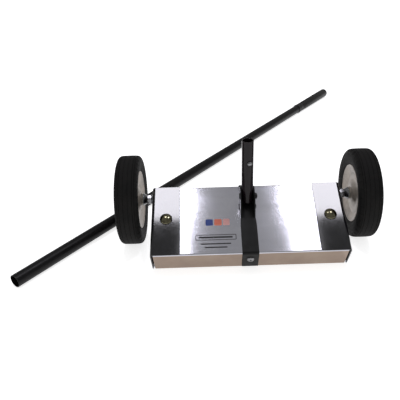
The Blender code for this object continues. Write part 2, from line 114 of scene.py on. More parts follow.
cover_low, cover_high = box_in("housing_cover", tipped)
carriage = tipped @ Matrix.Translation((middle(cover_low, cover_high).x, cover_low.y, cover_low.z))
tube_low, tube_high = box_in("handle_tube", handle_turn)
tube_middle = middle(tube_low, tube_high)
handle_line = handle_turn @ Matrix.Translation((tube_low.x, tube_middle.y, tube_middle.z))
wheels = {side: Matrix.Translation(joints[f"wheel_{side}_spin"]["pos_m"]) for side in ("left", "right")}
print(f"housing leans {math.degrees(tilt):.1f} degrees, post {math.degrees(post_angle):.1f} degrees")

# %% [markdown]
# ## The camera
#
# A tool like this is shown from a little above, as if somebody stood a step and a half away from it. The
# camera has a normal lens and hangs a little to one side, so one wheel shows more of its tread and the
# other more of its rim. It is placed first, because shiny paint and bright sheet show nothing but what
# they reflect towards it, and the lights can only be hung when that direction is known.

# %% Camera
EYE = Vector((-0.0347, -1.4512, 0.6572))
LOOK_DOWN = math.radians(28.86)
LOOK_LEFT = math.radians(0.27)
ROLL = math.radians(-1.95)

camera_data = bpy.data.cameras.new("camera")
camera_data.lens = 45.49
camera_data.sensor_width = 36
camera_data.shift_x = -0.0229
camera = bpy.data.objects.new("camera", camera_data)
bpy.context.scene.collection.objects.link(camera)
aim = (
    Matrix.Rotation(LOOK_LEFT, 4, "Z")
    @ Matrix.Rotation(math.pi / 2 - LOOK_DOWN, 4, "X")
    @ Matrix.Rotation(ROLL, 4, "Z")
)
camera.matrix_world = Matrix.Translation(EYE) @ aim
bpy.context.scene.camera = camera
print("camera", [round(value, 3) for value in EYE])


# %% [markdown]
# ## How the materials are made
#
# Every finish is a small tree of shader nodes. A noise gives it patches or grain, a range turns the noise
# into a roughness, a mix turns it into a colour, and a bump presses it into the surface. One helper adds any
# node with its settings and links, so a finish reads from top to bottom as a recipe.

# %% Colours and a helper that adds a node
def linear(hex_value):
    """An sRGB hex colour as the linear colour that shaders take."""
    parts = [int(hex_value[i : i + 2], 16) / 255 for i in (1, 3, 5)]
    return [part / 12.92 if part <= 0.04045 else ((part + 0.055) / 1.055) ** 2.4 for part in parts] + [1]


def add(tree, kind, settings=None, **links):
    """Adds a node. Settings go on the node or its sockets; links join sockets by name or number."""
    node = tree.nodes.new(kind)
    for name, value in (settings or {}).items():
        if hasattr(node, name):
            setattr(node, name, value)
        else:
            node.inputs[name].default_value = value
    for name, source in links.items():
        socket = int(name[1:]) if name[0] == "_" else name.replace("_", " ")
        tree.links.new(source, node.inputs[socket])
    return node


def blank(name):
    """A new material and its empty node tree."""
    made = bpy.data.materials.new(name)
    made.use_nodes = True
    made.node_tree.nodes.clear()
    return made, made.node_tree


# %% [markdown]
# ## Bright aluminium sheet
#
# The cover is bent from aluminium sheet, because a steel one would short out the magnets. Rolling leaves
# long faint lines across the sheet, and handling leaves greasy smudges. A noise pulled out along the sheet
# makes the lines: they are drawn 0.6 mm apart, coarser than the real ones, so that they can be seen. They
# push the roughness up and down and press a shallow bump. A wide soft noise makes the smudges. The folded
# lips get a second, brown copy of this metal: a painted reflection of a tan floor, which the lips face.

# %% Aluminium
def rolled_aluminium(name, pale, deep):
    made, tree = blank(name)
    where = add(tree, "ShaderNodeTexCoord").outputs["Object"]
    turned = add(tree, "ShaderNodeMapping", {"Rotation": (-tilt, 0, 0)}, Vector=where).outputs["Vector"]
    stretch = {"Scale": (1 / 0.09, 1 / 0.0006, 1 / 0.0006)}
    across = add(tree, "ShaderNodeMapping", stretch, Vector=turned).outputs["Vector"]
    lines = add(tree, "ShaderNodeTexNoise", {"Scale": 1, "Detail": 2}, Vector=across).outputs["Fac"]
    wide = {"Scale": 1 / 0.055, "Detail": 4, "Roughness": 0.6}
    smudges = add(tree, "ShaderNodeTexNoise", wide, Vector=where).outputs["Fac"]
    both = add(tree, "ShaderNodeMath", {"operation": "ADD"}, _0=lines, _1=smudges).outputs["Value"]
    limits = {"From Min": 0.75, "From Max": 1.25, "To Min": 0.08, "To Max": 0.13}
    gloss = add(tree, "ShaderNodeMapRange", limits, Value=both)
    amount = add(tree, "ShaderNodeMapRange", {"From Min": 0.3, "From Max": 0.7}, Value=smudges)
    colours = {"data_type": "RGBA", "A": linear(pale), "B": linear(deep)}
    tint = add(tree, "ShaderNodeMix", colours, Factor=amount.outputs["Result"])
    bump = add(tree, "ShaderNodeBump", {"Strength": 0.3, "Distance": 0.000004}, Height=lines)
    shader = add(
        tree, "ShaderNodeBsdfPrincipled", {"Metallic": 1.0},
        Base_Color=tint.outputs["Result"], Roughness=gloss.outputs["Result"], Normal=bump.outputs["Normal"],
    )
    add(tree, "ShaderNodeOutputMaterial", Surface=shader.outputs["BSDF"])
    return made


aluminium = rolled_aluminium("rolled_aluminium", "#c3c3ca", "#b2b2ba")
# A brown copy of the sheet for the folded lips: its colour is a painted reflection of a tan floor below them.
painted_reflection_aluminium = rolled_aluminium("lip_painted_floor_reflection", "#958577", "#88766a")
print("aluminium:", len(aluminium.node_tree.nodes), "nodes")

# %% [markdown]
# ## Black enamel on steel
#
# The brackets, the strap and the tubes are dipped or sprayed with glossy black enamel. Paint that dries on
# steel is never flat: it has an orange peel of bumps about 3 mm apart, and a thinner wave where it ran. It
# is a dielectric, so it shows the lights as clear white shapes and is nearly black everywhere else. Dust
# settles on it in patches about 20 mm across and dulls it there.

# %% Enamels
def enamel(name, colour, dusty, gloss, peel_depth, shine=0.5):
    made, tree = blank(name)
    where = add(tree, "ShaderNodeTexCoord").outputs["Object"]
    patches = {"Scale": 1 / 0.02, "Detail": 5, "Roughness": 0.65}
    dust = add(tree, "ShaderNodeTexNoise", patches, Vector=where).outputs["Fac"]
    peel = add(tree, "ShaderNodeTexNoise", {"Scale": 1 / 0.003, "Detail": 1}, Vector=where).outputs["Fac"]
    limits = {"From Min": 0.3, "From Max": 0.7, "To Min": gloss, "To Max": gloss * 1.5}
    dulled = add(tree, "ShaderNodeMapRange", limits, Value=dust)
    settled = add(tree, "ShaderNodeMapRange", {"From Min": 0.45, "From Max": 0.8, "To Max": 0.5}, Value=dust)
    colours = {"data_type": "RGBA", "A": linear(colour), "B": linear(dusty)}
    tint = add(tree, "ShaderNodeMix", colours, Factor=settled.outputs["Result"])
    bump = add(tree, "ShaderNodeBump", {"Strength": 0.25, "Distance": peel_depth}, Height=peel)
    shader = add(
        tree, "ShaderNodeBsdfPrincipled", {"Specular IOR Level": shine},
        Base_Color=tint.outputs["Result"], Roughness=dulled.outputs["Result"], Normal=bump.outputs["Normal"],
    )
    add(tree, "ShaderNodeOutputMaterial", Surface=shader.outputs["BSDF"])
    return made


bracket_enamel = enamel("bracket_enamel", "#111114", "#1c1b22", 0.06, 0.00003)
strap_enamel = enamel("strap_enamel", "#121212", "#1c1c1c", 0.42, 0.00006, 0.15)
tube_enamel = enamel("tube_enamel", "#0d0d0e", "#181718", 0.28, 0.00004, 0.15)
post_enamel = enamel("post_enamel", "#150f12", "#20181c", 0.14, 0.00004, 0.2)
hardware_black = enamel("black_oxide", "#161515", "#242221", 0.34, 0.00005, 0.2)
print("enamels:", len(tube_enamel.node_tree.nodes), "nodes each")

# %% [markdown]
# ## Zinc plate, yellow and clear
#
# Zinc is plated on screws to stop rust. A yellow chromate dip leaves a thin film whose colour drifts from
# straw to green with its thickness, so the yellow comes from a noise about 7 mm wide. The clear dip on the
# axle hardware is nearly neutral. Plating follows the forged surface below, which has lumps 1.2 mm wide.

# %% Zinc
def zinc(name, pale, deep, gloss):
    made, tree = blank(name)
    where = add(tree, "ShaderNodeTexCoord").outputs["Object"]
    film = add(tree, "ShaderNodeTexNoise", {"Scale": 1 / 0.007, "Detail": 3}, Vector=where).outputs["Fac"]
    lumps = add(tree, "ShaderNodeTexNoise", {"Scale": 1 / 0.0012, "Detail": 2}, Vector=where).outputs["Fac"]
    amount = add(tree, "ShaderNodeMapRange", {"From Min": 0.3, "From Max": 0.7}, Value=film)
    limits = {"From Min": 0.3, "From Max": 0.7, "To Min": gloss, "To Max": gloss + 0.12}
    rough = add(tree, "ShaderNodeMapRange", limits, Value=lumps)
    colours = {"data_type": "RGBA", "A": linear(pale), "B": linear(deep)}
    tint = add(tree, "ShaderNodeMix", colours, Factor=amount.outputs["Result"])
    bump = add(tree, "ShaderNodeBump", {"Strength": 0.3, "Distance": 0.00004}, Height=lumps)
    shader = add(
        tree, "ShaderNodeBsdfPrincipled", {"Metallic": 1.0},
        Base_Color=tint.outputs["Result"], Roughness=rough.outputs["Result"], Normal=bump.outputs["Normal"],
    )
    add(tree, "ShaderNodeOutputMaterial", Surface=shader.outputs["BSDF"])
    return made


yellow_zinc = zinc("yellow_zinc", "#76735d", "#4c483a", 0.05)
clear_zinc = zinc("clear_zinc", "#8a8a8b", "#68686b", 0.2)
spring_steel = zinc("spring_steel", "#8d8f96", "#5f6168", 0.25)
print("zinc:", len(yellow_zinc.node_tree.nodes), "nodes each")

# %% [markdown]
# ## Matt materials: ferrite, mill scale, rubber, nylon, vinyl and rim paint
#
# Each of these is two noises: a fine one, which is the surface's own grain and presses a bump, and a wide
# one, which is its wear or its mottle and moves both the colour and the gloss.
#
# - The magnets are ferrite, a pressed and fired powder: dull charcoal and gritty.
# - The plate behind them is hot-rolled steel with a blue-grey mill scale, patchy at about 10 mm.
# - The tyres are moulded rubber: black from soot, matt, with fine pores and grey dust in them.
# - The bushes are natural nylon, which lets a little light in.
# - The grip is vinyl, dipped and satin, with a pebbled skin about 1 mm across so that it doesn't slip.
# - The rims are sprayed with silver-grey paint, and cheap spraying leaves it mottled about 20 mm wide.
#
# The real grit, pores and flakes are a tenth of a millimetre or less. They are drawn 0.4 to 1 mm wide, as
# coarse as they need to be to show.

# %% Matt materials
def grained(name, colours, grain, wear, gloss, depth, settings=None):
    """Colours and gloss run from the first to the second value as the wear does. Sizes are in metres."""
    made, tree = blank(name)
    where = add(tree, "ShaderNodeTexCoord").outputs["Object"]
    fine = {"Scale": 1 / grain, "Detail": 3, "Roughness": 0.6}
    skin = add(tree, "ShaderNodeTexNoise", fine, Vector=where).outputs["Fac"]
    broad = {"Scale": 1 / wear, "Detail": 5, "Roughness": 0.65}
    worn = add(tree, "ShaderNodeTexNoise", broad, Vector=where).outputs["Fac"]
    amount = add(tree, "ShaderNodeMapRange", {"From Min": 0.33, "From Max": 0.67}, Value=worn)
    limits = {"From Min": 0.3, "From Max": 0.7, "To Min": gloss[0], "To Max": gloss[1]}
    rough = add(tree, "ShaderNodeMapRange", limits, Value=worn)
    pair = {"data_type": "RGBA", "A": linear(colours[0]), "B": linear(colours[1])}
    tint = add(tree, "ShaderNodeMix", pair, Factor=amount.outputs["Result"])
    bump = add(tree, "ShaderNodeBump", {"Strength": 0.4, "Distance": depth}, Height=skin)
    shader = add(
        tree, "ShaderNodeBsdfPrincipled", settings,
        Base_Color=tint.outputs["Result"], Roughness=rough.outputs["Result"], Normal=bump.outputs["Normal"],
    )
    add(tree, "ShaderNodeOutputMaterial", Surface=shader.outputs["BSDF"])
    return made


dull, soft = {"Specular IOR Level": 0.12}, {"Specular IOR Level": 0.3}
ferrite = grained("fired_ferrite", ("#2b2b2d", "#434245"), 0.0008, 0.02, (0.6, 0.8), 0.0001)
plain_steel = grained(
    "mill_scale_steel", ("#55575c", "#7a7671"), 0.0015, 0.01, (0.35, 0.6), 0.00008, {"Metallic": 0.9}
)
rubber = grained("moulded_rubber", ("#101010", "#1c1b1a"), 0.0007, 0.03, (0.7, 0.85), 0.0002, dull)
nylon = grained(
    "natural_nylon", ("#cfc8b6", "#b9b09a"), 0.0005, 0.02, (0.4, 0.55), 0.00003, {"Subsurface Weight": 0.15}
)
vinyl = grained("dipped_vinyl", ("#111111", "#1b1b1b"), 0.001, 0.03, (0.35, 0.5), 0.0001, soft)
silver_paint = grained(
    "silver_rim_paint", ("#7b756e", "#a89e94"), 0.0006, 0.02, (0.32, 0.5), 0.00003, {"Metallic": 0.3}
)
print("materials:", len(bpy.data.materials))

# %% [markdown]
# ## Helpers for thin sheet and turned parts
#
# Nearly everything here is either sheet that was folded in a press brake, or a part turned in a lathe. A
# folded part starts as a wire along the fold, with its corners rounded by a vertex bevel. The wire is
# extruded to a sheet, and a Solidify modifier gives it its thickness. A turned part starts as half of its
# section and is spun. A small bevel on every sharp edge then catches the light, as a real edge does.

# %% Mesh helpers
def wire(points, radius=0.0, corners=None, steps=8):
    """An open wire through the points. Its corners are rounded; they are all the inner points if not given."""
    shape = bmesh.new()
    verts = [shape.verts.new(point) for point in points]
    for pair in zip(verts, verts[1:]):
        shape.edges.new(pair)
    if radius:
        round_corners(shape, verts[1:-1] if corners is None else [verts[k] for k in corners], radius, steps)
    return shape


def round_corners(shape, verts, radius, steps=8):
    bmesh.ops.bevel(
        shape, geom=verts, offset=radius, offset_type="OFFSET", segments=steps,
        affect="VERTICES", profile=0.5, material=-1,
    )


def drawn_out(shape, way):
    """Extrudes a wire into a sheet along a vector."""
    grown = bmesh.ops.extrude_edge_only(shape, edges=shape.edges[:])["geom"]
    bmesh.ops.translate(shape, vec=way, verts=[part for part in grown if isinstance(part, bmesh.types.BMVert)])
    return shape


def facing_out(shape, inside):
    """Recalculates normals and turns them away from a point that lies inside the sheet."""
    bmesh.ops.recalc_face_normals(shape, faces=shape.faces)
    outward = 0
    for face in shape.faces:
        outward += face.normal.dot(face.calc_center_median() - Vector(inside)) * face.calc_area()
    if outward < 0:
        bmesh.ops.reverse_faces(shape, faces=shape.faces)
    return shape


def turned(profile, radius=0.0, corners=None, segments=96, steps=4):
    """Spins (along, radius) points round the x axis into one closed skin."""
    shape = wire([(x, 0, r) for x, r in profile], radius, corners, steps)
    around = {"cent": (0, 0, 0), "axis": (1, 0, 0), "angle": math.tau, "steps": segments}
    bmesh.ops.spin(shape, geom=shape.verts[:] + shape.edges[:], use_merge=True, **around)
    bmesh.ops.remove_doubles(shape, verts=shape.verts, dist=WELD)
    return shape


def with_shell(shape, extra):
    """Adds a second closed shell to a mesh."""
    bridge = bpy.data.meshes.new("bridge")
    extra.to_mesh(bridge)
    extra.free()
    shape.from_mesh(bridge)
    bpy.data.meshes.remove(bridge)
    return shape


def piece(name, shape, place, finish, body, slot, replaced=(), wall=0.0, edge=0.0, open_sheet=False):
    """Bakes the mesh's place, makes its object, attaches it to the body it moves with, and hides the solids it
    stands for.
    """
    if not open_sheet:
        bmesh.ops.recalc_face_normals(shape, faces=shape.faces)
    bmesh.ops.transform(shape, matrix=place, verts=shape.verts)
    mesh = bpy.data.meshes.new(name)
    shape.to_mesh(mesh)
    shape.free()
    mesh.shade_smooth()
    mesh.set_sharp_from_angle(angle=math.radians(38))
    mesh.materials.append(finish)
    made = bpy.data.objects.new(name, mesh)
    bpy.context.scene.collection.objects.link(made)
    if wall:
        skin = made.modifiers.new("thickness", "SOLIDIFY")
        skin.thickness = wall
        skin.offset = -1
        skin.use_even_offset = True
    if edge:
        softer = made.modifiers.new("edges", "BEVEL")
        softer.width = edge
        softer.segments = 3
        softer.limit_method = "ANGLE"
        softer.angle_limit = math.radians(38)
    if wall or edge:
        flat = made.modifiers.new("flat faces", "WEIGHTED_NORMAL")
        flat.weight = 100
        flat.keep_sharp = True
    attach(made, body)
    if replaced:
        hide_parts(*replaced)
    print(f"{name}: {len(mesh.polygons)} faces")
    return made


UPRIGHT = Matrix.Rotation(-math.pi / 2, 4, "Y")
TO_FRONT = Matrix.Rotation(-math.pi / 2, 4, "Z")
TO_BACK = Matrix.Rotation(math.pi / 2, 4, "Z")

# %% [markdown]
# ## The folded cover and the plate under it
#
# The cover is one aluminium sheet with its front and rear edges folded down. It carries nothing, so it is
# thin. The plate that the nails cling to is folded the other way and nests inside it. Both are a wire
# along the fold, drawn out across the housing.

# %% Cover and bottom plate
COVER_T = 1.5 * MM
COVER_BEND = 3 * MM
cover_low, cover_high = box_in("housing_cover", carriage)
cover_way = Vector((cover_high.x - cover_low.x, 0, 0))
cover_path = [
    (cover_low.x, cover_low.y, cover_low.z),
    (cover_low.x, cover_low.y, cover_high.z),
    (cover_low.x, cover_high.y, cover_high.z),
    (cover_low.x, cover_high.y, cover_low.z),
]
cover_inside = middle(cover_low, cover_high) - Vector((0, 0, 0.02))
cover = facing_out(drawn_out(wire(cover_path, COVER_BEND), cover_way), cover_inside)
# The faces below the top, the folded lips, take the second material, the brown painted floor reflection.
for face in cover.faces:
    face.material_index = int(face.calc_center_median().z < cover_high.z - COVER_BEND)
replaced = ["housing_cover"]
folded_cover = piece(
    "folded_cover", cover, carriage, aluminium, "housing", "bright_sheet", replaced, COVER_T, 0.3 * MM, True
)
# The second material is the lips' brown painted floor reflection.
folded_cover.data.materials.append(painted_reflection_aluminium)

TRAY_T = 1.2 * MM
tray_low, tray_high = box_in("bottom_plate", carriage)
tray_path = [
    (tray_low.x, tray_low.y, tray_high.z),
    (tray_low.x, tray_low.y, tray_low.z),
    (tray_low.x, tray_high.y, tray_low.z),
    (tray_low.x, tray_high.y, tray_high.z),
]
tray = drawn_out(wire(tray_path, 2 * MM), Vector((tray_high.x - tray_low.x, 0, 0)))
facing_out(tray, middle(tray_low, tray_high) + Vector((0, 0, 0.05)))
replaced = ["bottom_plate"]
piece("folded_tray", tray, carriage, aluminium, "housing", "bright_sheet", replaced, TRAY_T, 0.2 * MM, True)

# %% [markdown]
# ## End brackets
#
# Each end is a steel angle, cut from flat bar and bent round a 7 mm radius, then dipped in black enamel.
# Its flange lies on the cover with two clipped corners, and its upright plate closes the end of the box and
# holds the axle. The corners are rounded on the flat sheet, with a vertex bevel, before it gets thick.

# %% End brackets
BRACKET_T = 3 * MM
BRACKET_BEND = 7 * MM
FLANGE_CORNER = 5 * MM
for side, sign in (("left", -1), ("right", 1)):
    low, high = box_in(f"end_bracket_{side}", carriage)
    inner, outer = (high.x, low.x) if sign < 0 else (low.x, high.x)
    bend = [(inner, low.y, high.z), (outer, low.y, high.z), (outer, low.y, low.z)]
    angle = wire(bend, BRACKET_BEND, steps=12)
    drawn_out(angle, Vector((0, high.y - low.y, 0)))
    clipped = [vert for vert in angle.verts if abs(vert.co.x - inner) < 0.01 * MM]
    round_corners(angle, clipped, FLANGE_CORNER)
    facing_out(angle, (0, middle(low, high).y, low.z))
    replaced = [f"end_bracket_{side}"]
    piece(f"angle_bracket_{side}", angle, carriage, bracket_enamel, "housing", "black_gloss_steel", replaced,
          BRACKET_T, 0.8 * MM, True)

# %% [markdown]
# ## Centre strap and its ears
#
# A flat bar runs over the box from lip to lip and carries the handle. It narrows at a waist, and behind
# that two ears stand up as a fork for the handle post. The bar is a folded sheet, like the cover, cut
# across at the waist so that its rear part can be scaled narrower. Each ear is a plate with round corners,
# with a thin bead of weld along its foot.

# %% Strap, ears and weld beads
STRAP_T = 2.6 * MM
STRAP_BEND = 5.9 * MM
WAIST = (69 * MM, 86 * MM)
REAR_HALF_WIDTH = 16.1 * MM
strap_low, strap_high = box_in("center_strap", carriage)
STRAP_TOP = cover_high.z + STRAP_T + 0.3 * MM
strap_path = [
    (strap_low.x, strap_low.y, strap_low.z),
    (strap_low.x, strap_low.y, STRAP_TOP),
    (strap_low.x, strap_high.y, STRAP_TOP),
    (strap_low.x, strap_high.y, strap_low.z),
]
strap = drawn_out(wire(strap_path, STRAP_BEND), Vector((strap_high.x - strap_low.x, 0, 0)))
for cut_y in WAIST:
    everything = strap.verts[:] + strap.edges[:] + strap.faces[:]
    bmesh.ops.bisect_plane(strap, geom=everything, dist=WELD, plane_co=(0, cut_y, 0), plane_no=(0, 1, 0))
behind = [vert for vert in strap.verts if vert.co.y > WAIST[1] - 0.01 * MM]
bmesh.ops.scale(strap, vec=(REAR_HALF_WIDTH / strap_high.x, 1, 1), verts=behind)
facing_out(strap, (0, middle(strap_low, strap_high).y, 0))
piece("centre_bar", strap, carriage, strap_enamel, "housing", "black_gloss_steel", ["center_strap"],
      STRAP_T, 0.5 * MM, True)

EAR_OUT = 15.8 * MM
EAR_T = 2.6 * MM
EAR_MM = ((84, 60), (106, 88), (118, 96), (143, 96), (151, 88), (154, 60))
ears = bmesh.new()
for sign in (-1, 1):
    ear = bmesh.new()
    corners = [ear.verts.new((sign * EAR_OUT, y * MM, z * MM)) for y, z in EAR_MM]
    ear.faces.new(corners)
    round_corners(ear, corners[1:5], 5 * MM)
    grown = bmesh.ops.extrude_face_region(ear, geom=ear.faces[:])["geom"]
    far_side = [part for part in grown if isinstance(part, bmesh.types.BMVert)]
    bmesh.ops.translate(ear, vec=(-sign * EAR_T, 0, 0), verts=far_side)
    bmesh.ops.recalc_face_normals(ear, faces=ear.faces)
    with_shell(ears, ear)
piece("fork_ears", ears, carriage, strap_enamel, "housing", "black_gloss_steel", edge=0.5 * MM)

BEAD_RADIUS = 1.2 * MM
BEAD_STEPS = 44
BEAD_STEP = 1.5 * MM
BEAD_SWELL = 1.12
welds = bmesh.new()
for sign in (-1, 1):
    bead = bmesh.new()
    bmesh.ops.create_circle(bead, cap_ends=True, radius=BEAD_RADIUS, segments=12)
    bmesh.ops.rotate(bead, matrix=Matrix.Rotation(math.pi / 2, 3, "X"), verts=bead.verts)
    bmesh.ops.translate(bead, vec=(sign * (EAR_OUT - EAR_T), 86 * MM, STRAP_TOP), verts=bead.verts)
    run = bead.faces[:]
    for step in range(BEAD_STEPS):
        grown = bmesh.ops.extrude_face_region(bead, geom=run)["geom"]
        run = [part for part in grown if isinstance(part, bmesh.types.BMFace)]
        ends = [part for part in grown if isinstance(part, bmesh.types.BMVert)]
        bmesh.ops.translate(bead, vec=(0, BEAD_STEP, 0), verts=ends)
        swell = BEAD_SWELL if step % 2 else 1 / BEAD_SWELL
        spot = Matrix.Translation((-sign * (EAR_OUT - EAR_T), 0, -STRAP_TOP))
        bmesh.ops.scale(bead, vec=(swell, 1, swell), verts=ends, space=spot)
    bmesh.ops.recalc_face_normals(bead, faces=bead.faces)
    with_shell(welds, bead)
piece("weld_beads", welds, carriage, strap_enamel, "housing", "black_gloss_steel")

# %% [markdown]
# ## Bolts, screws and nuts
#
# The bracket bolts are carriage bolts: a plain polished dome and no slot. The strap screws have a button
# head with a hexagonal key hole. A nut is a hexagon whose corners were turned off in a lathe, so a curved
# line runs across each flat. To get it, a turned ring is pushed in to the hexagon wherever it stands out.

# %% Fastener shapes
HALF_INCH = 12.7 * MM
HALF_INCH_FLATS = 19.05 * MM
THREAD_PITCH = 1.95 * MM


def hexagon_radius(vert, flats):
    """The distance from the x axis to a hexagon's side, in the direction of a vertex."""
    around = math.atan2(vert.co.y, vert.co.z)
    off_middle = (around + math.pi / 6) % (math.pi / 3) - math.pi / 6
    return flats / 2 / math.cos(off_middle)


def squeezed(shape, reach, flats):
    """Pulls the vertices that stand out of a hexagon, further from the axis than reach, in to its sides."""
    for vert in shape.verts:
        away = math.hypot(vert.co.y, vert.co.z)
        if away > reach and away > hexagon_radius(vert, flats):
            vert.co.yz = Vector(vert.co.yz) * hexagon_radius(vert, flats) / away
    return shape


def hex_body(low, high, flats, bore):
    """A nut along x, or a bolt's head if it has no bore. Both faces have their corners turned off."""
    corner = flats / math.sqrt(3)
    rise = 0.11 * flats
    side = [(low, 0.47 * flats), (low + rise * 0.25, 0.5 * flats)]
    side += [(low + rise * 0.6, 0.545 * flats), (low + rise, corner)]
    side += [(high - (x - low), r) for x, r in side[::-1]]
    core = [(high, bore + 0.8 * MM), (high - 0.8 * MM, bore), (low + 0.8 * MM, bore), (low, bore + 0.8 * MM)]
    if not bore:
        core = [(high, 0)]
        side = [(low, 0)] + side
    else:
        side = core[-1:] + side
        core = core[:-1] + [side[0]]
    return squeezed(turned(side + core), 0.46 * flats, flats)


def threaded(low, high, radius, pitch=THREAD_PITCH):
    """The outline of a thread, as rings: from the end at high back to low."""
    depth = 0.5 * pitch
    turns = int((high - low) / pitch)
    outline = [(high, 0), (high, radius - depth)]
    for turn in range(turns):
        start = high - turn * pitch
        outline += [(start - 0.4 * pitch, radius), (start - 0.6 * pitch, radius)]
        outline.append((start - pitch, radius - depth))
    return outline + [(low, radius)]


# %% Carriage bolts
DOME_HEIGHT = 6.7 * MM
DOME_RADIUS = 13.5 * MM
for side in ("left", "right"):
    low, high = box_in(f"carriage_bolt_{side}", carriage)
    seat = high.z - DOME_HEIGHT
    angles = [k * math.pi / 32 for k in range(15)]
    dome = [(seat + DOME_HEIGHT * math.cos(a), DOME_RADIUS * math.sin(a)) for a in angles]
    rim = [(seat + 0.5 * MM, DOME_RADIUS), (seat, DOME_RADIUS - 0.5 * MM), (seat, HALF_INCH / 2)]
    bolt = turned(dome + rim + [(low.z, HALF_INCH / 2), (low.z, 0)])
    spot = carriage @ Matrix.Translation((middle(low, high).x, middle(low, high).y, 0)) @ UPRIGHT
    piece(f"carriage_head_{side}", bolt, spot, yellow_zinc, "housing", "zinc_plated", [f"carriage_bolt_{side}"])

# %% Strap screws and the fork's bolt
KEY_FLATS = 4 * MM
KEY_RADIUS = KEY_FLATS * 0.58
KEY_DEPTH = 2.2 * MM
SCREW_RADIUS = 3.2 * MM
PIN_RADIUS = 3.97 * MM
for word, turn in (("front", TO_FRONT), ("rear", TO_BACK)):
    low, high = box_in(f"strap_screw_{word}", carriage)
    radius = (high.x - low.x) / 2
    length = high.y - low.y
    head_h = 3.6 * MM
    crown = [(-KEY_DEPTH, 0), (-KEY_DEPTH, KEY_RADIUS), (0, KEY_RADIUS), (0, radius * 0.45)]
    crown += [(-head_h * 0.12, radius * 0.68), (-head_h * 0.42, radius * 0.9), (-head_h * 0.8, radius)]
    crown += [(-head_h, radius * 0.97), (-head_h, SCREW_RADIUS), (-length, SCREW_RADIUS), (-length, 0)]
    screw = turned(crown, segments=60)
    for vert in screw.verts:
        away = math.hypot(vert.co.y, vert.co.z)
        if abs(away - KEY_RADIUS) < 0.01 * MM:
            vert.co.yz = Vector(vert.co.yz) * hexagon_radius(vert, KEY_FLATS) / away
    face_y = low.y if word == "front" else high.y
    spot = carriage @ Matrix.Translation((middle(low, high).x, face_y, middle(low, high).z)) @ turn
    piece(f"button_screw_{word}", screw, spot, clear_zinc, "housing", "zinc_plated", [f"strap_screw_{word}"])

low, high = box_in("pivot_bolt", carriage)
head_radius = (high.z - low.z) / 2
seat = low.x + 2.4 * MM
crown = [(low.x, 0), (low.x, 3 * MM), (low.x + 0.3 * MM, 5 * MM), (low.x + 1 * MM, 6.7 * MM)]
crown += [(low.x + 1.8 * MM, head_radius), (seat, head_radius), (seat, PIN_RADIUS)]
shank = threaded(high.x - 7 * MM, high.x, PIN_RADIUS, 1.2 * MM)[::-1]
pin_spot = carriage @ Matrix.Translation((0, middle(low, high).y, middle(low, high).z))
pin = turned(crown + shank, segments=60)
piece("fork_bolt", pin, pin_spot, hardware_black, "housing", "black_gloss_steel", ["pivot_bolt"])
nut_low, nut_high = box_in("pivot_nut", carriage)
nut = hex_body(nut_low.x, nut_high.x, 12.7 * MM, 4.3 * MM)
piece("fork_nut", nut, pin_spot, hardware_black, "housing", "black_gloss_steel", ["pivot_nut"])

# %% [markdown]
# ## Axles
#
# A half-inch bolt sticks out of each end plate, clamped by a nut on a split spring washer. A flared spacer
# keeps the wheel off that nut, and a flat washer and a nylon-ring lock nut hold it on. The split washer is
# the only part that isn't a closed ring: its square section is spun less than a full turn and climbs a
# little as it goes.

# %% Axle hardware
def washer(low, high, bore, radius):
    soft = 0.35 * MM
    outline = [(low, bore), (low, radius - soft), (low + soft, radius), (high - soft, radius)]
    return turned(outline + [(high, radius - soft), (high, bore), (low, bore)])


def split_washer(low, high, bore, radius):
    climb = 0.25 * (high - low)
    shape = bmesh.new()
    section = [(low, bore), (low, radius), (high - climb, radius), (high - climb, bore)]
    face = shape.faces.new([shape.verts.new((x, 0, r)) for x, r in section])
    steps = 72
    around = {"cent": (0, 0, 0), "axis": (1, 0, 0), "angle": math.radians(348), "steps": steps}
    bmesh.ops.spin(shape, geom=[face] + face.edges[:] + face.verts[:], dvec=(climb / steps, 0, 0), **around)
    return shape


